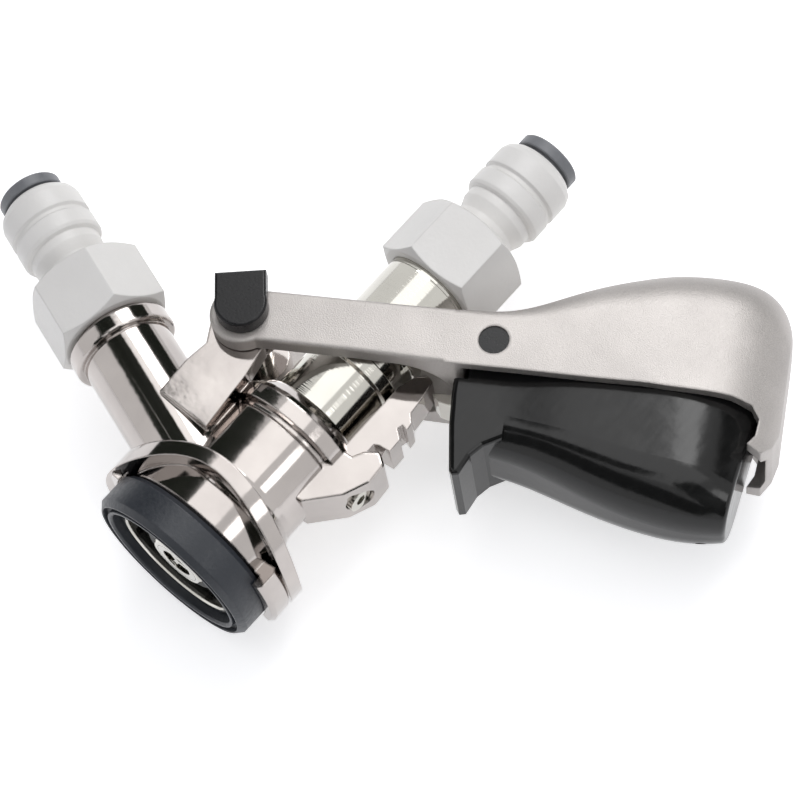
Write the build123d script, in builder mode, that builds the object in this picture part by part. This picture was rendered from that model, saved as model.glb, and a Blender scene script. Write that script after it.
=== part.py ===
from build123d import *
import os
from math import cos, sin, radians

# Keg coupler: twist-on body, sliding probe, forked lever with a squeeze trigger.
# Z runs up the probe, the lever reaches toward +X, the gas inlet leans toward -X.
# The origin is the centre of the base ring's lower face. Millimetres.

# ---- driving dimensions -------------------------------------------------
run_gap = 0.05             # radial gap of a turning or sliding fit
slide_gap = 0.12           # radial gap of a loose guide
thread_gap = 0.05          # radial gap drawn in a screwed joint

ring_r = 23.0              # black base ring
ring_h = 9.7
spigot_r = 19.4            # foot of the casting inside the ring
seal_r = 17.3              # seat of the keg seal and its retainer
seal_top = 8.6
ring_room = 0.3            # casting kept clear of the ring's top
skirt_r = 21.3             # chromed skirt above the ring
skirt_top = 19.0
lug_r = 26.4               # bayonet band and lugs
barrel_r = 15.6            # barrel of the casting
collar_r = 16.7            # thicker collar at its top
lip_z = 50.6               # top of the casting round the probe
chamber_r = 12.6           # gas chamber under the probe's guide
guide_low = 33.2           # foot of the guide

probe_r = 11.45            # probe where it slides in the body, 5/8 inch thread size
probe_bore = 4.0
probe_flange_r = 12.4      # flanges either side of the drive groove
groove_r = 9.7
probe_tube_r = 7.6
drive_pin_r = 2.4
drive_gap = 0.55           # axial room of a drive pin in the probe groove

hinge_x, hinge_z = -24.5, 57.0
hinge_pin_r = 4.0
lever_angle = 31.0         # lever above level when raised
lever_stroke = 24.0        # degrees pushed down to the locked position
arm_out = 18.0             # half width over the fork
arm_in = 13.4              # half width between the fork arms
trigger_u, trigger_v = 61.0, -0.4
trigger_pin_r = 3.7
shell_from = 50.0          # where the hollow shell starts
lever_len = 130.0
shell_wall = 2.6

gas_tilt = 19.0            # gas inlet above level
gas_x, gas_z = -53.0, 38.0
thread_r = 11.4            # 5/8 inch pipe thread on body and probe
hex_af = 27.6
hex_len = 18.0
head_r = 10.8
tube_r = 4.85              # socket for a 9.5 mm tube
thread_len = 13.0          # thread taken by a nut
boss_back = 1.3            # thread root behind the nut's mouth
beer_z = 94.6              # mouth of the beer fitting

lug_in = 7.0               # half width of the slot between the hinge ears
lug_out = arm_in - 0.4

os.makedirs("parts", exist_ok=True)


def save(piece, name):
    piece.part.label = name
    export_step(piece.part, "parts/" + name + ".step")


def lever_plane(u=0.0, v=0.0):
    """Side view of the raised lever: x along it from the hinge, y square to it."""
    a = radians(lever_angle)
    x = hinge_x + u * cos(a) - v * sin(a)
    z = hinge_z + u * sin(a) + v * cos(a)
    return Plane(origin=(x, 0, z), x_dir=(cos(a), 0, sin(a)), z_dir=(0, -1, 0))


def lever_section(u):
    """Cross section of the lever at a distance from the hinge: x is width, y is up."""
    side = lever_plane(u)
    return Plane(origin=side.origin, x_dir=(0, 1, 0), z_dir=side.x_dir)


def lever_plan(v):
    """Plan view of the lever at a height: x along it, y across it."""
    side = lever_plane(0, v)
    return Plane(origin=side.origin, x_dir=side.x_dir, z_dir=side.y_dir)


gas_dir = Vector(-cos(radians(gas_tilt)), 0, sin(radians(gas_tilt)))


def fitting_plane(kind, s=0.0):
    """Plane square to a fitting's axis, s beyond the mouth of its nut."""
    if kind == "gas":
        mouth = Vector(gas_x, 0, gas_z)
        return Plane(origin=mouth + gas_dir * s, x_dir=(0, 1, 0), z_dir=gas_dir)
    return Plane(origin=(0, 0, beer_z + s), x_dir=(1, 0, 0), z_dir=(0, 0, 1))


def axial_plane(kind):
    """Half section of a fitting: x is radius, y is distance along its axis."""
    cross = fitting_plane(kind)
    return Plane(origin=cross.origin, x_dir=cross.x_dir, z_dir=-cross.y_dir)


def turned(points, plane=Plane.XZ):
    """Solid of revolution from a closed outline of (radius, height) corners."""
    with BuildPart() as body:
        with BuildSketch(plane):
            with BuildLine():
                Polyline(*points, close=True)
            make_face()
        revolve(axis=Axis(plane.origin, plane.y_dir), revolution_arc=360)
    return body.part


# ---- body casting ---------------------------------------------------------
barrel_outline = [
    (seal_r, 4.0), (spigot_r, 4.0), (spigot_r, ring_h + 0.2), (skirt_r - 0.8, ring_h + 0.2), (skirt_r, ring_h + 1.0),
    (skirt_r, skirt_top - 1.0), (skirt_r - 1.0, skirt_top), (barrel_r + 1.8, skirt_top + 2.6),
    (barrel_r + 0.3, skirt_top + 5.2), (barrel_r, skirt_top + 7.0), (barrel_r, lip_z - 10.2),
    (barrel_r - 0.7, lip_z - 9.5), (barrel_r - 0.7, lip_z - 8.6), (collar_r, lip_z - 7.8), (collar_r, lip_z - 4.0),
    (collar_r - 0.8, lip_z - 2.7), (collar_r - 2.8, lip_z - 0.7), (collar_r - 3.7, lip_z),
    (probe_r + slide_gap, lip_z), (probe_r + slide_gap, guide_low + 1.3), (chamber_r, guide_low), (chamber_r, 13.5),
    (chamber_r + 1.6, 12.0), (chamber_r + 1.6, seal_top), (seal_r, seal_top),
]
band_end = lug_r + 1.1
band_top = [
    (-band_end, 12.4), (-19.0, 16.4), (-10.0, 20.9), (0, 23.4), (10.0, 22.9), (19.0, 20.4), (band_end, 16.6),
]
band_low = [
    (band_end, 13.0), (19.0, 16.2), (10.0, 18.8), (0, 19.6), (-10.0, 16.4), (-19.0, 10.6), (-band_end, 6.0),
]
lug_low, lug_top = 7.4, 14.0
lug_outline = [
    (skirt_r - 0.8, ring_h + 0.6), (lug_r - 3.0, ring_h + 0.6), (lug_r - 3.0, lug_low), (lug_r - 1.0, lug_low),
    (lug_r, lug_low + 1.0), (lug_r, lug_top - 1.4), (lug_r - 1.2, lug_top), (skirt_r - 0.8, lug_top),
]
foot_outline = [
    (12.5, 47.2), (12.5, 30.5), (barrel_r - 0.2, 31.0), (22.3, 38.6), (25.0, 45.0), (24.6, lip_z),
    (21.6, lip_z + 2.0), (18.4, lip_z - 0.4), (17.0, lip_z - 3.0),
]
probe_seal_z = (guide_low + 4.2, lip_z - 7.0)
o_ring_out = probe_r + 1.55
o_ring_wide = 1.8
catch_gap = probe_flange_r + 1.0     # inner face of the latch catch, clear of the probe
screw_z = 42.0
screw_r = 2.0
screw_seat = 21.6
catch_half = 5.2

# wavy bayonet band: an arched slab trimmed to a ring
with BuildPart() as band:
    with BuildSketch(Plane.XY):
        Circle(lug_r)
        Circle(skirt_r - 0.6, mode=Mode.SUBTRACT)
    extrude(amount=30)
    with BuildSketch(Plane.XZ):
        with BuildLine():
            top_edge = Spline(*band_top)
            low_edge = Spline(*band_low)
            Line(top_edge @ 1, low_edge @ 0)
            Line(low_edge @ 1, top_edge @ 0)
        make_face()
    extrude(amount=30, both=True, mode=Mode.INTERSECT)

# two bayonet lugs under the band, fore and aft
with BuildPart() as lugs:
    for turn in (0, 180):
        with BuildSketch(Plane.XZ.rotated((0, 0, turn - 24))):
            with BuildLine():
                Polyline(*lug_outline, close=True)
            make_face()
        revolve(axis=Axis.Z, revolution_arc=48)

# inclined gas inlet boss with a thread for the fitting
boss_axis = fitting_plane("gas", -46.0)
with BuildPart() as boss:
    with BuildSketch(boss_axis):
        Circle(11.7)
    extrude(amount=40.2)
    with BuildSketch(fitting_plane("gas", -boss_back - 4.9)):
        Circle(13.5)
    rim = extrude(amount=5.0)
    fillet(rim.edges().filter_by(GeomType.CIRCLE), 0.9)
    with BuildSketch(fitting_plane("gas", -boss_back)):
        Circle(thread_r)
    extrude(amount=thread_len)

# fork-shaped lug carrying the lever hinge
ear_r = 8.3
ear_outline = [
    (hinge_x - 8.1, hinge_z - 1.0), (hinge_x - 6.8, hinge_z - 4.8), (hinge_x - 3.3, hinge_z - 10.6),
    (-28.6, 40.0), (-28.0, 30.0), (-13.0, 30.0), (-14.6, 46.0), (hinge_x + 8.2, hinge_z - 2.5),
]
with BuildPart() as ears:
    with BuildSketch(Plane.XZ):
        with BuildLine():
            Polyline(*ear_outline, close=True)
        make_face()
        with Locations((hinge_x, hinge_z)):
            Circle(ear_r)
    extrude(amount=lug_out, both=True)

# rounded foot on which the latch catch stands
with BuildPart() as foot:
    with BuildSketch(Plane.XZ):
        with BuildLine():
            Polyline(*foot_outline, close=True)
        make_face()
    extrude(amount=7.0, both=True)
    fillet(foot.edges().filter_by(Axis.Y).sort_by(Axis.X)[-5:], 1.2)
    fillet(foot.edges().group_by(Axis.Y)[0] + foot.edges().group_by(Axis.Y)[-1], 0.8)

with BuildPart() as body_casting:
    add(turned(barrel_outline))
    add(band.part)
    add(lugs.part)
    add(boss.part)
    add(ears.part)
    add(foot.part)
    # clear the probe bore and the gas chamber again
    with BuildSketch(Plane.XY.offset(guide_low - 0.2)):
        Circle(probe_r + slide_gap)
    extrude(amount=50, mode=Mode.SUBTRACT)
    with BuildSketch(Plane.XY.offset(12.0)):
        Circle(chamber_r)
    extrude(amount=guide_low - 12.0, mode=Mode.SUBTRACT)
    # room for the base ring under the band
    with BuildSketch(Plane.XY.offset(-1.0)):
        Circle(ring_r + 0.4)
        Circle(spigot_r, mode=Mode.SUBTRACT)
    extrude(amount=ring_h + ring_room + 1.0, mode=Mode.SUBTRACT)
    # grooves for the two probe seals
    for z in probe_seal_z:
        with BuildSketch(Plane.XY.offset(z)):
            Circle(o_ring_out)
            Circle(probe_r, mode=Mode.SUBTRACT)
        extrude(amount=o_ring_wide, mode=Mode.SUBTRACT)
    # slot between the hinge ears, clear of the probe flanges
    with BuildSketch(Plane.XZ):
        with BuildLine():
            Polyline(
                (-40, lip_z - 3.6), (-22.0, lip_z - 6.0), (-12.0, lip_z - 3.1), (-12.0, hinge_z + 18.0),
                (-40, hinge_z + 18.0), close=True,
            )
        make_face()
    extrude(amount=lug_in, both=True, mode=Mode.SUBTRACT)
    with BuildSketch(Plane.XY.offset(lip_z)):
        Circle(probe_flange_r + 1.2)
    extrude(amount=30, mode=Mode.SUBTRACT)
    # hinge pin bore
    with BuildSketch(Plane.XZ):
        with Locations((hinge_x, hinge_z)):
            Circle(hinge_pin_r)
    extrude(amount=30, both=True, mode=Mode.SUBTRACT)
    # gas passage and valve seat pocket
    with BuildSketch(fitting_plane("gas", 11.7)):
        Circle(4.0)
    extrude(amount=-60.0 + 14.0, mode=Mode.SUBTRACT)
    with BuildSketch(fitting_plane("gas", 11.7)):
        Circle(7.5)
    extrude(amount=-9.0, mode=Mode.SUBTRACT)
    # seat for the latch catch and its screw
    with BuildSketch(Plane.YZ.offset(catch_gap)):
        with Locations((0, screw_z + 18.0)):
            Rectangle(2 * catch_half, 48.0)
    extrude(amount=5.2, mode=Mode.SUBTRACT)
    with BuildSketch(Plane.YZ.offset(catch_gap + 5.0)):
        with Locations((0, screw_z)):
            Circle(screw_r)
    extrude(amount=12.0, mode=Mode.SUBTRACT)
    with BuildSketch(Plane.YZ.offset(screw_seat)):
        with Locations((0, screw_z)):
            Circle(screw_r + 1.6)
    extrude(amount=8.0, mode=Mode.SUBTRACT)
save(body_casting, "body_casting")

# ---- pieces fixed to the casting --------------------------------------------
ring_face = ring_r - spigot_r      # width of the lower face outside the spigot
groove_in = spigot_r + 0.5 * ring_face / 3.6
groove_out = spigot_r + 1.7 * ring_face / 3.6
ring_outline = [
    (spigot_r - 0.8, 0.5), (spigot_r - 0.4, 0.0), (groove_in - 0.2, 0.0), (groove_in, 1.5), (groove_out, 1.5),
    (groove_out + 0.2, 0.0), (ring_r - 1.3 * ring_face / 3.6, 0.0), (ring_r, 1.5),
    (ring_r, ring_h - 1.2), (ring_r - 0.9, ring_h), (spigot_r, ring_h), (spigot_r, 4.0), (spigot_r - 0.8, 4.0),
]
with BuildPart() as base_ring:
    add(turned(ring_outline))
save(base_ring, "base_ring")

with BuildPart() as keg_seal:
    add(turned([
        (seal_r - 4.4, 6.0), (seal_r, 6.0), (seal_r, seal_top), (seal_r - 3.3, seal_top), (seal_r - 4.4, seal_top - 0.8),
    ]))
save(keg_seal, "keg_seal")

with BuildPart() as seal_retainer:
    add(turned([
        (seal_r - 1.7, 2.6), (seal_r - 1.3, 2.2), (seal_r - 0.4, 2.2), (seal_r, 2.6), (seal_r, 6.0), (seal_r - 1.7, 6.0),
    ]))
save(seal_retainer, "seal_retainer")

for z, name in zip(probe_seal_z, ("probe_o_ring_lower", "probe_o_ring_upper")):
    inner = probe_r + 0.06
    with BuildPart() as o_ring:
        add(turned([
            (inner, z + 0.5), (inner + 0.3, z), (o_ring_out, z), (o_ring_out, z + o_ring_wide),
            (inner + 0.3, z + o_ring_wide), (inner, z + o_ring_wide - 0.5),
        ]))
    save(o_ring, name)

# stepped latch catch: a plate whose two hooks stay inside the sweep of the latch tooth
catch_outline = [
    (catch_gap, 36.0), (catch_gap, 68.6), (14.8, 73.0), (17.0, 75.2), (19.0, 74.6), (19.8, 70.0), (20.2, 65.2),
    (22.1, 63.2), (22.4, 61.0), (20.6, 61.5), (20.3, 60.2), (22.7, 58.3), (22.8, 54.4), (19.6, 54.0),
    (18.6, 53.4), (18.6, 36.0),
]
with BuildPart() as latch_catch:
    with BuildSketch(Plane.XZ):
        with BuildLine():
            Polyline(*catch_outline, close=True)
        make_face()
    extrude(amount=catch_half, both=True)
    fillet(latch_catch.edges().filter_by(Axis.Y).group_by(Axis.Z)[-1], 0.8)
    with BuildSketch(Plane.YZ.offset(catch_gap - 1)):
        with Locations((0, screw_z)):
            Circle(screw_r)
    extrude(amount=10, mode=Mode.SUBTRACT)
save(latch_catch, "latch_catch")

with BuildPart() as catch_screw:
    with BuildSketch(Plane.YZ.offset(catch_gap + 0.6)):
        with Locations((0, screw_z)):
            Circle(screw_r)
    extrude(amount=screw_seat - catch_gap - 0.6)
    with BuildSketch(Plane.YZ.offset(screw_seat)):
        with Locations((0, screw_z)):
            Circle(screw_r + 1.3)
    extrude(amount=2.2)
    with BuildSketch(Plane.YZ.offset(screw_seat + 2.2)):
        with Locations((0, screw_z)):
            RegularPolygon(1.5, 6)
    extrude(amount=-1.4, mode=Mode.SUBTRACT)
save(catch_screw, "catch_screw")

with BuildPart() as hinge_pin:
    with BuildSketch(Plane.XZ):
        with Locations((hinge_x, hinge_z)):
            Circle(hinge_pin_r)
    extrude(amount=arm_out + 2.4, both=True)
save(hinge_pin, "hinge_pin")

# D-shaped caps over the ends of the hinge pin
cap_turn = 42.0
for side, name in ((1, "hinge_cap_near"), (-1, "hinge_cap_far")):
    with BuildPart() as cap:
        with BuildSketch(Plane.XZ.offset(side * (arm_out + 0.4))):
            with Locations(Location((hinge_x, hinge_z), cap_turn)):
                Circle(6.4)
                with Locations((0, 4.15)):
                    Rectangle(12.4, 8.3)
        extrude(amount=side * 4.2)
        outer = cap.faces().sort_by(Axis.Y)[0 if side > 0 else -1]
        fillet(outer.edges(), 0.7)
        with BuildSketch(Plane.XZ.offset(side * (arm_out + 0.4))):
            with Locations((hinge_x, hinge_z)):
                Circle(hinge_pin_r)
        extrude(amount=side * 2.0, mode=Mode.SUBTRACT)
    save(cap, name)

# ---- probe --------------------------------------------------------------------
pin_v = trigger_v
pin_u = (-hinge_x + pin_v * sin(radians(lever_angle))) / cos(radians(lever_angle))
pin_z = lever_plane(pin_u, pin_v).origin.Z
groove_low = pin_z - drive_pin_r - drive_gap
groove_high = pin_z + drive_pin_r + drive_gap
probe_top = beer_z + 11.7
probe_outline = [
    (6.0, 2.4), (probe_tube_r - 0.6, 2.4), (probe_tube_r, 3.0), (probe_tube_r, 8.2), (10.0, 8.2), (10.0, 9.4),
    (probe_tube_r, 10.6), (probe_tube_r, 30.4), (10.8, 33.0), (probe_r, 33.8), (probe_r, 64.0),
    (probe_flange_r, 64.6), (probe_flange_r, groove_low - 0.3), (probe_flange_r - 0.3, groove_low),
    (groove_r, groove_low), (groove_r, groove_high), (probe_flange_r - 0.3, groove_high),
    (probe_flange_r, groove_high + 0.3), (probe_flange_r, groove_high + 3.0), (probe_r, groove_high + 3.9),
    (probe_r, beer_z - 1.6), (thread_r, beer_z - 1.2), (thread_r, probe_top - 0.8), (thread_r - 0.8, probe_top),
    (probe_bore, probe_top), (probe_bore, 18.6), (6.0, 16.6),
]
with BuildPart() as probe:
    add(turned(probe_outline))
save(probe, "probe")

with BuildPart() as probe_seal:
    add(turned([
        (probe_tube_r, 3.4), (9.6, 3.4), (10.9, 4.6), (10.9, 7.2), (10.3, 8.2), (probe_tube_r, 8.2),
    ]))
save(probe_seal, "probe_seal")

with BuildPart() as ball_seat:
    add(turned([(3.0, 4.2), (6.0, 4.2), (6.0, 7.0), (4.6, 7.0), (3.0, 5.4)]))
save(ball_seat, "ball_seat")

# spider that keeps the ball seat in the probe's foot
with BuildPart() as ball_cage:
    with BuildSketch(Plane.XY.offset(2.4)):
        Circle(6.0)
        Circle(4.1, mode=Mode.SUBTRACT)
    extrude(amount=1.8)
    with BuildSketch(Plane.XY.offset(2.8)):
        with PolarLocations(0, 3):
            with Locations((2.6, 0)):
                Rectangle(5.4, 1.3)
    extrude(amount=1.2)
save(ball_cage, "ball_cage")

with BuildPart() as check_ball:
    with Locations((0, 0, 9.3)):
        Sphere(4.6)
save(check_ball, "check_ball")

# ---- lever ----------------------------------------------------------------------
# share of the shell's length, half width, top, radius of the top corners
shell_sections = [
    (0.0, arm_out, 6.6, 1.6), (0.1, arm_out, 7.8, 2.6), (0.2, arm_out, 10.0, 4.6), (0.3125, 17.8, 15.4, 8.0),
    (0.45, 17.6, 21.6, 11.0), (0.6, 17.6, 25.9, 12.6), (0.75, 17.4, 27.4, 13.0), (0.8625, 16.2, 27.0, 12.6),
    (0.94375, 13.0, 24.2, 10.6), (0.9825, 10.4, 20.0, 8.6), (1.0, 8.4, 15.0, 6.6),
]
end_zone = 30.0            # length over which the end wall thickens the section
wall_low = -7.6
tongue_low = -19.2
room_from = trigger_u - 6.6


def shell_u(share):
    """Distance from the hinge to a share of the shell's length."""
    return shell_from + share * (lever_len - shell_from)


def rounded_section(u, half, top, corner, low):
    with BuildSketch(lever_section(u)) as outline:
        with BuildLine():
            Polyline((half, top - corner), (half, low), (-half, low), (-half, top - corner))
            TangentArc((-half, top - corner), (corner - half, top), tangent=(0, 1))
            Line((corner - half, top), (half - corner, top))
            TangentArc((half, top - corner), (half - corner, top), tangent=(0, 1))
        make_face()
    return outline.sketch


def lofted_shell(inset, low):
    with BuildPart() as skin:
        for share, half, top, corner in shell_sections:
            u = shell_u(share)
            u -= inset * max(u - (lever_len - end_zone), 0) / end_zone
            add(rounded_section(u, half - inset, top - inset, max(corner - inset * 0.5, 0.8), low))
        loft()
    return skin.part


outer_shell = lofted_shell(0.0, tongue_low - 1.0)
inner_shell = lofted_shell(shell_wall, tongue_low - 6.0)

# room for the trigger inside the shell
with BuildPart() as room:
    add(inner_shell)
    with BuildSketch(lever_plane()):
        with BuildLine():
            Polyline(
                (room_from, 30.0), (room_from, -30.0), (lever_len + 10.0, -30.0), (lever_len + 10.0, 30.0), close=True,
            )
        make_face()
    extrude(amount=30, both=True, mode=Mode.INTERSECT)

with BuildPart() as lever:
    # fork arms with hinge eyes
    with BuildSketch(lever_plane()):
        with BuildLine():
            Polyline((0, 6.0), (37.0, 6.4), (51.0, 6.7), (51.0, wall_low), (28.0, -7.2), (0, -7.4), close=True)
        make_face()
        with Locations((0, -0.6)):
            Circle(8.0)
    extrude(amount=arm_out, both=True)
    fillet(lever.edges().group_by(Axis.Y)[0] + lever.edges().group_by(Axis.Y)[-1], 0.9)
    # swelling hollow shell
    add(outer_shell)
    # trim the walls below, leaving the tongue of the end wall
    with BuildSketch(lever_plane()):
        with BuildLine():
            Polyline(
                (40.0, wall_low), (52.0, wall_low), (shell_u(0.325), -7.2), (shell_u(0.6125), -6.8),
                (lever_len - 12.0, -7.2), (lever_len - 7.0, -8.2), (lever_len - 5.0, -11.0),
                (lever_len - 5.4, -15.4), (lever_len - 7.0, -18.0), (lever_len - 3.6, tongue_low),
                (lever_len - 1.2, -16.4), (lever_len + 0.4, -11.0), (lever_len + 4.0, -6.0),
                (lever_len + 4.0, -32.0), (40.0, -32.0), close=True,
            )
        make_face()
    extrude(amount=30, both=True, mode=Mode.SUBTRACT)
    add(room.part, mode=Mode.SUBTRACT)
    # slot between the arms with a rounded end
    with BuildSketch(lever_plan(-30.0)):
        with Locations((14.0, 0)):
            Rectangle(48.0, 2 * arm_in)
        with Locations((38.0, 0)):
            Circle(arm_in)
    extrude(amount=60.0, mode=Mode.SUBTRACT)
    with BuildSketch(lever_plane()):
        Circle(hinge_pin_r + run_gap)
        with Locations((trigger_u, trigger_v)):
            Circle(trigger_pin_r)
    extrude(amount=30, both=True, mode=Mode.SUBTRACT)
    for side in (1, -1):
        start = lever_plane(pin_u, pin_v)
        with BuildSketch(start.offset(side * (arm_in - 1.0))):
            Circle(drive_pin_r)
        extrude(amount=side * 3.6, mode=Mode.SUBTRACT)
save(lever, "lever")

with BuildPart() as drive_pins:
    for side in (1, -1):
        with BuildSketch(lever_plane(pin_u, pin_v).offset(side * 10.4)):
            Circle(drive_pin_r)
        extrude(amount=side * (arm_in + 2.6 - 10.4))
save(drive_pins, "drive_pins")

with BuildPart() as trigger_pin:
    with BuildSketch(lever_plane(trigger_u, trigger_v)):
        Circle(trigger_pin_r)
    extrude(amount=arm_out - 0.4, both=True)
save(trigger_pin, "trigger_pin")

# ---- trigger ---------------------------------------------------------------------
cheek_out = 12.9           # cheeks of the trigger between the fork arms
cheek_in = 10.4
grip_wall = 2.4
boss_r = 5.2
latch_half = 4.6
grip_from = trigger_u - 1.0
grip_to = lever_len - 3.0
grip_steps = 67            # the grip is drawn at stations counted in these parts of its length
# station, half width, lowest point, radius of the lower corners
grip_sections = [
    (0, 12.9, -24.6, 7.6), (9, 13.2, -26.2, 8.4), (19, 14.2, -29.4, 10.0), (30, 14.6, -33.2, 11.6),
    (42, 14.6, -36.1, 12.4), (52, 13.8, -37.0, 12.2), (59, 11.4, -36.4, 10.2), (67, 7.4, -35.4, 6.8),
]
grip_back = lever_len - 5.6
latch_outline = [(46.8, -10.2), (47.5, -9.8), (60.0, -9.8), (60.0, -12.6), (50.6, -12.6), (48.4, -12.0)]


def grip_loft(inset, top):
    with BuildPart() as skin:
        for station, half, low, corner in grip_sections:
            at = grip_from + station * (grip_to - grip_from) / grip_steps
            half, low = half - inset, low + inset
            corner = min(corner - inset * 0.6, half - 0.8)
            with BuildSketch(lever_section(at)):
                with BuildLine():
                    Polyline((-half, low + corner), (-half, top), (half, top), (half, low + corner))
                    TangentArc((half, low + corner), (half - corner, low), tangent=(0, -1))
                    Line((half - corner, low), (corner - half, low))
                    TangentArc((-half, low + corner), (corner - half, low), tangent=(0, -1))
                make_face()
        loft()
    return skin.part


def end_cut(back):
    """Everything beyond the sloping end face, moved forward by back."""
    with BuildPart() as cut:
        with BuildSketch(lever_plane()):
            with BuildLine():
                Polyline(
                    (grip_back - back, 10.0), (grip_back - 0.4 - back, -9.0), (grip_back - 4.6 - back, -38.0),
                    (grip_back - 4.6 - back, -60.0), (lever_len + 30.0, -60.0), (lever_len + 30.0, 10.0), close=True,
                )
            make_face()
        extrude(amount=40, both=True)
    return cut.part


outer_grip = grip_loft(0.0, -1.0) - end_cut(0.0)
inner_grip = grip_loft(grip_wall, 20.0) - end_cut(grip_wall)
end_from = lever_len - 11.5
end_faces = outer_grip.faces().filter_by(lambda f: lever_plane().to_local_coords(f.center()).X > end_from)
outer_grip = fillet(end_faces.sort_by(SortBy.AREA)[-1].edges().sort_by(Axis.Z)[:-1], 1.4)

with BuildPart() as trigger:
    add(outer_grip)
    # flared toe in front
    with BuildSketch(lever_plane()):
        with BuildLine():
            Polyline(
                (52.3, -9.0), (52.4, -13.0), (53.1, -21.0), (54.9, -32.4), (55.8, -33.6), (57.4, -33.2),
                (59.4, -28.4), (62.0, -25.4), (66.0, -23.0), (66.0, -9.0), close=True,
            )
        make_face()
    toe = extrude(amount=cheek_out, both=True)
    fillet(toe.edges().group_by(Axis.Y)[0] + toe.edges().group_by(Axis.Y)[-1], 1.4)
    # hollow inside, open to the shell
    add(inner_grip, mode=Mode.SUBTRACT)
    # cheeks carrying the pivot
    with BuildSketch(lever_plane()):
        with BuildLine():
            Polyline(
                (55.8, -12.0), (55.8, -1.0), (trigger_u, 1.0), (trigger_u + 6.0, -2.0), (trigger_u + 11.0, -3.0),
                (trigger_u + 11.0, -12.0), close=True,
            )
        make_face()
        with Locations((trigger_u, trigger_v)):
            Circle(boss_r)
    extrude(amount=cheek_out, both=True)
    with BuildSketch(lever_plane()):
        with BuildLine():
            Polyline((55.8, -12.0), (55.8, 10.0), (75.0, 10.0), (75.0, -12.0), close=True)
        make_face()
    extrude(amount=cheek_in, both=True, mode=Mode.SUBTRACT)
    with BuildSketch(lever_plane()):
        with Locations((trigger_u, trigger_v)):
            Circle(trigger_pin_r + run_gap)
    extrude(amount=30, both=True, mode=Mode.SUBTRACT)
    # slot for the latch and a drain hole in the tail
    with BuildSketch(lever_plane()):
        with BuildLine():
            Polyline(*latch_outline, close=True)
        make_face()
    extrude(amount=latch_half, both=True, mode=Mode.SUBTRACT)
    with BuildSketch(lever_plan(-50.0)):
        with Locations((lever_len - 15.5, 5.0)):
            Circle(1.3)
    extrude(amount=30.0, mode=Mode.SUBTRACT)
save(trigger, "trigger")

with BuildPart() as trigger_latch:
    with BuildSketch(lever_plane()):
        with BuildLine():
            Polyline(*latch_outline, close=True)
        make_face()
    extrude(amount=latch_half, both=True)
save(trigger_latch, "trigger_latch")


def coil(plane, radius, wire, length, turns):
    """Helical spring along the normal of a plane, centred on its origin."""
    path = Helix(pitch=length / turns, height=length, radius=radius, center=(0, 0, -length / 2))
    start = Plane(origin=path @ 0, z_dir=path % 0)
    with BuildPart() as spring:
        with BuildSketch(start):
            Circle(wire)
        sweep(path=path)
    return plane.location * spring.part


with BuildPart() as trigger_spring:
    add(coil(lever_plane(trigger_u, trigger_v), 4.7, 0.42, 9.0, 6))
save(trigger_spring, "trigger_spring")

# ---- push-fit fittings, gas and beer alike -----------------------------------------
nut_mouth_r = 13.5
collet_travel = 1.0
fitting_outline = [
    (thread_r + thread_gap, 0.0), (hex_af * 0.6, 0.0), (hex_af * 0.6, hex_len), (8.9, hex_len), (8.4, hex_len + 1.0),
    (8.2, 21.6), (9.4, 24.6), (9.4, 27.0), (10.3, 27.4), (head_r, 28.2), (head_r, 32.4), (10.1, 32.9), (10.1, 34.0),
    (head_r, 34.5), (head_r, 39.8), (10.2, 41.4), (8.8, 42.7), (6.9, 42.8), (6.75, 42.6), (6.75, 38.4), (7.4, 38.0),
    (7.4, 33.0), (7.0, 33.0), (7.0, 30.0), (tube_r, 30.0), (tube_r, 24.0), (4.0, 23.6), (4.0, 13.0),
    (thread_r + thread_gap, 13.0),
]
collet_outline = [
    (tube_r, 34.2), (7.1, 34.2), (7.1, 35.6), (6.75 - run_gap, 36.2), (6.75 - run_gap, 43.9), (8.1, 43.9),
    (8.3, 44.2), (8.3, 46.6), (7.9, 47.0), (5.6, 47.0), (tube_r, 46.2),
]
for kind in ("gas", "beer"):
    half = axial_plane(kind)
    with BuildPart() as fitting:
        add(turned(fitting_outline, half))
        # hexagon with bevelled corners
        with BuildSketch(fitting_plane(kind)):
            RegularPolygon(hex_af / 2, 6, major_radius=False, rotation=12.0)
        extrude(amount=60.0, mode=Mode.INTERSECT)
        bevel = turned([
            (0, -1.0), (nut_mouth_r, -1.0), (nut_mouth_r, 0.0), (nut_mouth_r + 3.0, 1.6),
            (nut_mouth_r + 3.0, hex_len - 1.8), (nut_mouth_r, hex_len), (nut_mouth_r, 60.0), (0, 60.0),
        ], half)
        add(bevel, mode=Mode.INTERSECT)
    save(fitting, kind + "_fitting")
    with BuildPart() as collet:
        add(turned(collet_outline, half))
        # slots that let the gripping end spring
        with BuildSketch(fitting_plane(kind, 34.2)):
            with PolarLocations(0, 4):
                with Locations((6.0, 0)):
                    Rectangle(4.0, 0.9)
        extrude(amount=6.0, mode=Mode.SUBTRACT)
    save(collet, kind + "_collet")
    with BuildPart() as o_ring:
        with BuildSketch(half):
            with Locations((5.98, 31.4)):
                Circle(1.02)
        revolve(axis=Axis(half.origin, half.y_dir), revolution_arc=360)
    save(o_ring, kind + "_o_ring")
    with BuildPart() as washer:
        add(turned([(6.2, 11.7), (11.0, 11.7), (11.0, 13.0), (6.2, 13.0)], half))
    save(washer, kind + "_washer")

# ---- gas non-return valve ----------------------------------------------------------
gas_half = axial_plane("gas")
with BuildPart() as gas_valve_seat:
    add(turned([(3.8, 9.4), (7.5, 9.4), (7.5, 11.7), (3.2, 11.7), (3.2, 10.4)], gas_half))
save(gas_valve_seat, "gas_valve_seat")

with BuildPart() as gas_valve_disc:
    add(turned([(0, 7.5), (4.6, 7.5), (6.4, 8.0), (6.4, 9.1), (0, 9.1)], gas_half))
save(gas_valve_disc, "gas_valve_disc")

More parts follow.
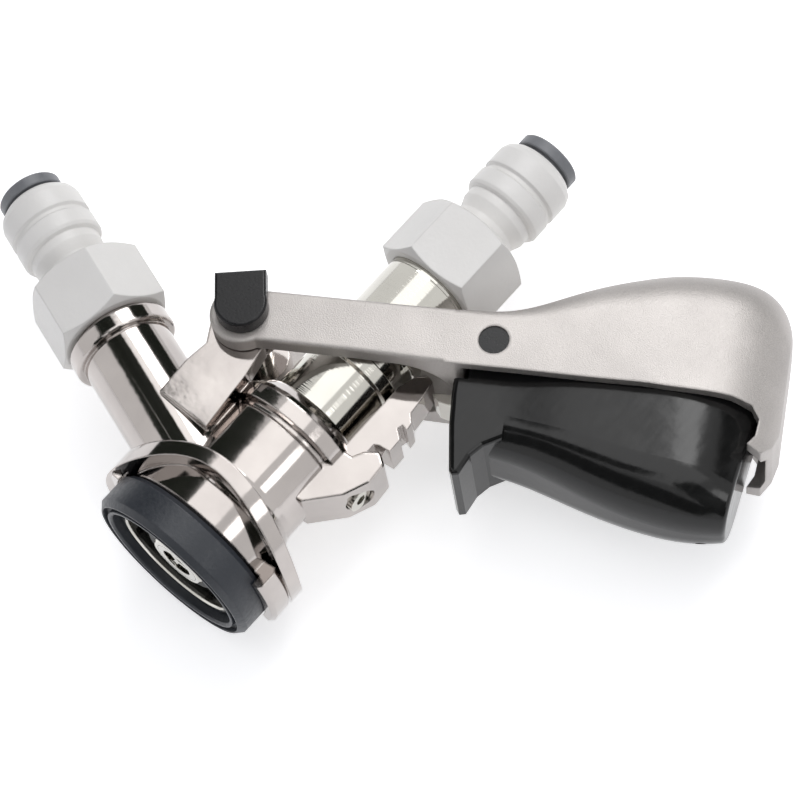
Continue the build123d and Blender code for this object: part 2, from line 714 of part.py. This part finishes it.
with BuildPart() as gas_valve_spring:
    add(coil(fitting_plane("gas", 5.05), 4.9, 0.35, 3.6, 3))
save(gas_valve_spring, "gas_valve_spring")
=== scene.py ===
from math import radians

import bmesh
import bpy
from mathutils import Matrix, Vector

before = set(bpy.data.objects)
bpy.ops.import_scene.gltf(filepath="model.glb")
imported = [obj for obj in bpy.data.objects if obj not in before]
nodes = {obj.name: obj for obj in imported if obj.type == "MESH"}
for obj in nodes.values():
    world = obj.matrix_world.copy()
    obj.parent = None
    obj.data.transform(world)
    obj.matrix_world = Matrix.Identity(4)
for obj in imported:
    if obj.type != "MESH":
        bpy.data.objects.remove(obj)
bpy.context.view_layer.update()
print("frame loaded:", len(nodes), "nodes")


# ---- shader helpers: sums are written as Python, other nodes come from one method

class Value:
    def __init__(self, tree, socket):
        self.tree = tree
        self.socket = socket

    def maths(self, operation, first, second):
        node = self.tree.nodes.new("ShaderNodeMath")
        node.operation = operation
        for slot, item in zip(node.inputs, (first, second)):
            if isinstance(item, Value):
                self.tree.links.new(item.socket, slot)
            else:
                slot.default_value = item
        return Value(self.tree, node.outputs[0])

    def __add__(self, other):
        return self.maths("ADD", self, other)

    def __radd__(self, other):
        return self.maths("ADD", other, self)

    def __mul__(self, other):
        return self.maths("MULTIPLY", self, other)

    def __rmul__(self, other):
        return self.maths("MULTIPLY", other, self)


class Finish:
    def __init__(self, name, **constants):
        self.material = bpy.data.materials.new(name)
        self.material.use_nodes = True
        self.tree = self.material.node_tree
        self.shader = self.tree.nodes["Principled BSDF"]
        for key, value in constants.items():
            self.feed(self.shader.inputs[key.replace("_", " ")], value)
        self.place = self.add("TexCoord", output="Object")

    def feed(self, slot, value):
        if isinstance(value, Value):
            self.tree.links.new(value.socket, slot)
        else:
            slot.default_value = value

    def add(self, kind, settings=None, values=None, output=0):
        node = self.tree.nodes.new("ShaderNode" + kind)
        for key, setting in (settings or {}).items():
            if key == "stops":
                ramp = node.color_ramp
                while len(ramp.elements) < len(setting):
                    ramp.elements.new(0.5)
                for stop, (position, colour) in zip(ramp.elements, setting):
                    stop.position = position
                    stop.color = colour
            else:
                setattr(node, key, setting)
        for key, value in (values or {}).items():
            self.feed(node.inputs[key], value)
        return Value(self.tree, node.outputs[output])

    def noise(self, scale, detail=3.0, stretch=(1, 1, 1)):
        place = self.add("Mapping", values={"Vector": self.place, "Scale": stretch})
        return self.add("TexNoise", values={"Vector": place, "Scale": scale, "Detail": detail})

    def limits(self, value, low, high, toLow=0.0, toHigh=1.0):
        return self.add("MapRange", values={
            "Value": value, "From Min": low, "From Max": high, "To Min": toLow, "To Max": toHigh})

    def tint(self, mask, low, high):
        return self.add("ValToRGB", {"stops": [(0.0, (*low, 1)), (1.0, (*high, 1))]}, {"Fac": mask})

    def relief(self, height, distance, strength=1.0, normal=None):
        values = {"Height": height, "Distance": distance, "Strength": strength}
        if normal:
            values["Normal"] = normal
        return self.add("Bump", values=values)

    def set(self, **inputs):
        for key, value in inputs.items():
            self.feed(self.shader.inputs[key.replace("_", " ")], value)

    def paint(self, *names):
        for name in names:
            mesh = nodes[name].data
            mesh.materials.clear()
            mesh.materials.append(self.material)


# ---- metals

nickel = {"light": (0.50, 0.465, 0.445), "dark": (0.40, 0.37, 0.355), "edge": 0.0006, "ripple": 0.0005}

plate = Finish("nickelPlate", Metallic=1.0)
soft = plate.add("Bevel", {"samples": 4}, {"Radius": nickel["edge"]})
cloud = plate.noise(60, 4)
fine = plate.noise(900, 2)
dull = plate.limits(cloud, 0.3, 0.75)
plate.set(
    Base_Color=plate.tint(dull, nickel["light"], nickel["dark"]),
    Roughness=plate.limits(cloud, 0.25, 0.8, 0.05, 0.13),
    Normal=plate.relief(cloud * 0.8 + fine * 0.02, nickel["ripple"], 0.25, soft))
plate.paint("body_casting", "latch_catch")

steel = {"light": (0.62, 0.605, 0.56), "dark": (0.50, 0.485, 0.445)}

turnedSteel = Finish("turnedSteel", Metallic=1.0)
lathe = turnedSteel.noise(500, 2, (0.02, 0.02, 4.0))
smear = turnedSteel.noise(90, 3)
turnedSteel.set(
    Base_Color=turnedSteel.tint(smear, steel["light"], steel["dark"]),
    Roughness=turnedSteel.limits(smear, 0.3, 0.7, 0.05, 0.14),
    Normal=turnedSteel.relief(lathe, 0.0001, 0.25,
                              turnedSteel.add("Bevel", {"samples": 4}, {"Radius": 0.0003})))
turnedSteel.paint("probe", "catch_screw", "seal_retainer", "hinge_pin", "ball_seat",
                  "ball_cage", "check_ball", "drive_pins", "trigger_latch")

wire = Finish("springWire", Metallic=1.0)
drawn = wire.noise(1200, 2)
wire.set(
    Base_Color=wire.tint(drawn, (0.45, 0.44, 0.43), (0.34, 0.33, 0.32)),
    Roughness=wire.limits(drawn, 0.3, 0.7, 0.25, 0.4),
    Normal=wire.relief(drawn, 0.0001, 0.2))
wire.paint("trigger_spring", "gas_valve_spring")

alloy = {"light": (0.50, 0.475, 0.46), "dark": (0.38, 0.36, 0.35), "edge": 0.0009}

castAlloy = Finish("castAlloy", Metallic=1.0)
sand = castAlloy.noise(3400, 2)
patch = castAlloy.noise(70, 4)
tone = castAlloy.limits(sand * 0.6 + patch * 0.4, 0.35, 0.65)
castAlloy.set(
    Base_Color=castAlloy.tint(tone, alloy["dark"], alloy["light"]),
    Roughness=castAlloy.limits(sand, 0.3, 0.7, 0.46, 0.6),
    Normal=castAlloy.relief(sand + patch * 0.6, 0.00018, 0.45,
                            castAlloy.add("Bevel", {"samples": 4}, {"Radius": alloy["edge"]})))
castAlloy.paint("lever")
print("metals done")

# ---- plastics and rubber

gloss = Finish("glossBlack", IOR=1.46, Specular_IOR_Level=0.4)
peel = gloss.noise(260, 2)
rub = gloss.noise(700, 3, (1, 1, 0.25))
gloss.set(
    Base_Color=gloss.tint(peel, (0.006, 0.006, 0.006), (0.010, 0.010, 0.010)),
    Roughness=gloss.limits(rub, 0.35, 0.75, 0.12, 0.2),
    Normal=gloss.relief(peel, 0.0002, 0.15))
gloss.paint("trigger")

cap = Finish("satinBlack", IOR=1.46, Specular_IOR_Level=0.35)
grain = cap.noise(1500, 3)
cap.set(
    Base_Color=cap.tint(grain, (0.006, 0.006, 0.007), (0.011, 0.011, 0.012)),
    Roughness=cap.limits(grain, 0.3, 0.7, 0.25, 0.35),
    Normal=cap.relief(grain, 0.0001, 0.2))
cap.paint("hinge_cap_near", "hinge_cap_far", "trigger_pin")

rubber = Finish("ringRubber", IOR=1.5)
skin = rubber.noise(1100, 4)
bloom = rubber.noise(80, 4)
rubber.set(
    Base_Color=rubber.tint(bloom, (0.012, 0.015, 0.021), (0.022, 0.026, 0.034)),
    Roughness=rubber.limits(skin, 0.3, 0.7, 0.34, 0.5),
    Normal=rubber.relief(skin + bloom * 0.5, 0.0002, 0.3,
                         rubber.add("Bevel", {"samples": 4}, {"Radius": 0.0004})))
rubber.paint("base_ring")

seal = Finish("sealRubber", IOR=1.5)
pore = seal.noise(1300, 3)
seal.set(
    Base_Color=seal.tint(pore, (0.012, 0.012, 0.012), (0.026, 0.026, 0.026)),
    Roughness=seal.limits(pore, 0.3, 0.7, 0.45, 0.65),
    Normal=seal.relief(pore, 0.0002, 0.4))
seal.paint("keg_seal", "probe_o_ring_lower", "probe_o_ring_upper", "probe_seal", "gas_o_ring",
           "gas_washer", "beer_o_ring", "beer_washer", "gas_valve_disc")

acetal = {"light": (0.76, 0.745, 0.72), "dark": (0.69, 0.675, 0.65)}

white = Finish("whiteAcetal", IOR=1.48)
mould = white.noise(900, 3)
handled = white.noise(45, 4)
white.set(
    Base_Color=white.tint(white.limits(handled, 0.3, 0.75), acetal["light"], acetal["dark"]),
    Roughness=white.limits(mould, 0.3, 0.7, 0.36, 0.5),
    Normal=white.relief(mould + handled * 0.5, 0.0002, 0.25,
                        white.add("Bevel", {"samples": 4}, {"Radius": 0.0006})))
white.paint("gas_fitting", "beer_fitting", "gas_valve_seat")

grey = Finish("greyAcetal", IOR=1.48)
speck = grey.noise(900, 3)
grey.set(
    Base_Color=grey.tint(speck, (0.13, 0.135, 0.145), (0.18, 0.185, 0.195)),
    Roughness=grey.limits(speck, 0.3, 0.7, 0.35, 0.5),
    Normal=grey.relief(speck, 0.0002, 0.3))
grey.paint("gas_collet", "beer_collet")
print("plastics done")


# ---- floor, light and camera: the coupler lies on its side, seen from above

room = {"floorY": 0.0275, "floorSize": 4.0, "floorTone": 0.92, "floorGlow": 0.5}

sheet = bmesh.new()
bmesh.ops.create_grid(sheet, x_segments=1, y_segments=1, size=room["floorSize"])
bmesh.ops.rotate(sheet, verts=sheet.verts, matrix=Matrix.Rotation(radians(90), 3, "X"))
bmesh.ops.translate(sheet, verts=sheet.verts, vec=(0, room["floorY"], 0))
floorMesh = bpy.data.meshes.new("floor")
sheet.to_mesh(floorMesh)
sheet.free()
floor = bpy.data.objects.new("floor", floorMesh)
bpy.context.scene.collection.objects.link(floor)
paper = Finish("paper", Roughness=0.9, Emission_Color=(1, 1, 1, 1), Emission_Strength=room["floorGlow"])
fibre = paper.noise(8, 3)
paper.set(Base_Color=paper.tint(fibre, (room["floorTone"],) * 3, (room["floorTone"] + 0.01,) * 3))
clear = paper.tree.nodes.new("ShaderNodeBsdfTransparent")
behind = paper.add("NewGeometry", output="Backfacing")
swap = paper.tree.nodes.new("ShaderNodeMixShader")
paper.feed(swap.inputs[0], behind)
paper.tree.links.new(paper.shader.outputs[0], swap.inputs[1])
paper.tree.links.new(clear.outputs[0], swap.inputs[2])
paper.tree.links.new(swap.outputs[0], paper.tree.nodes["Material Output"].inputs["Surface"])
floorMesh.materials.append(paper.material)


def lamp(name, place, target, size, power, tone=(1, 1, 1)):
    light = bpy.data.lights.new(name, "AREA")
    light.shape = "RECTANGLE"
    light.size, light.size_y = size
    light.energy = power
    light.color = tone
    holder = bpy.data.objects.new(name, light)
    bpy.context.scene.collection.objects.link(holder)
    holder.location = place
    holder.rotation_euler = (Vector(target) - Vector(place)).to_track_quat("-Z", "Y").to_euler()


middle = (0.02, 0, 0.07)
lamp("keySoftbox", (-0.25, -0.95, 0.75), middle, (0.8, 0.5), 6)
lamp("fillSoftbox", (0.85, -0.8, -0.1), middle, (0.3, 0.9), 2.2)
lamp("topSoftbox", (0.0, -1.2, 0.0), middle, (1.2, 1.2), 4)


# dark cards that only show as reflections in the bright metal
def flag(name, place, size):
    card = bmesh.new()
    bmesh.ops.create_grid(card, x_segments=1, y_segments=1, size=0.5)
    bmesh.ops.scale(card, verts=card.verts, vec=(*size, 1))
    facing = (Vector(middle) - Vector(place)).to_track_quat("Z", "Y").to_matrix()
    bmesh.ops.rotate(card, verts=card.verts, matrix=facing)
    bmesh.ops.translate(card, verts=card.verts, vec=place)
    mesh = bpy.data.meshes.new(name)
    card.to_mesh(mesh)
    card.free()
    mesh.materials.append(baize.material)
    holder = bpy.data.objects.new(name, mesh)
    bpy.context.scene.collection.objects.link(holder)
    holder.visible_camera = False
    holder.visible_diffuse = False
    holder.visible_shadow = False
    holder.visible_transmission = False


baize = Finish("baize", Roughness=1.0, Specular_IOR_Level=0.0)
nap = baize.noise(6, 2)
baize.set(Base_Color=baize.tint(nap, (0.012, 0.014, 0.011), (0.03, 0.035, 0.028)))

flag("leftFlag", (-0.70, -0.30, 0.05), (1.6, 0.42))
flag("rightFlag", (0.75, -0.36, -0.20), (1.6, 0.46))
flag("frontFlag", (0.30, -0.55, -0.75), (1.5, 0.50))
flag("rearFlag", (-0.10, -0.40, 0.90), (1.4, 0.50))
flag("overheadFlag", (-0.30, -0.95, -0.35), (0.9, 0.30))

world = bpy.data.worlds.new("studio")
bpy.context.scene.world = world
world.use_nodes = True
air = world.node_tree
sky = air.nodes["Background"]
path = air.nodes.new("ShaderNodeLightPath")
blank = air.nodes.new("ShaderNodeBackground")
blank.inputs["Color"].default_value = (1, 1, 1, 1)
blank.inputs["Strength"].default_value = 1.0
sky.inputs["Color"].default_value = (0.9, 0.92, 1.0, 1)
sky.inputs["Strength"].default_value = 0.35
blend = air.nodes.new("ShaderNodeMixShader")
shown = air.nodes.new("ShaderNodeMath")
shown.operation = "MAXIMUM"
air.links.new(path.outputs["Is Camera Ray"], shown.inputs[0])
air.links.new(path.outputs["Is Glossy Ray"], shown.inputs[1])
air.links.new(shown.outputs[0], blend.inputs[0])
air.links.new(sky.outputs[0], blend.inputs[1])
air.links.new(blank.outputs[0], blend.inputs[2])
air.links.new(blend.outputs[0], air.nodes["World Output"].inputs["Surface"])

eye = {
    "place": (0.27695, -0.68604, -0.13901),
    "right": (0.7542, 0.0933, 0.6500),
    "up": (-0.5590, -0.4283, 0.7100),
    "lens": 142.56,
}

right = Vector(eye["right"]).normalized()
back = right.cross(Vector(eye["up"])).normalized()
upward = back.cross(right)
turn = Matrix((right, upward, back)).transposed()
cameraData = bpy.data.cameras.new("camera")
cameraData.lens = eye["lens"]
cameraData.sensor_width = 36
camera = bpy.data.objects.new("camera", cameraData)
bpy.context.scene.collection.objects.link(camera)
camera.location = eye["place"]
camera.rotation_euler = turn.to_euler()
bpy.context.scene.camera = camera
bpy.context.scene.view_settings.view_transform = "Standard"
print("studio done")
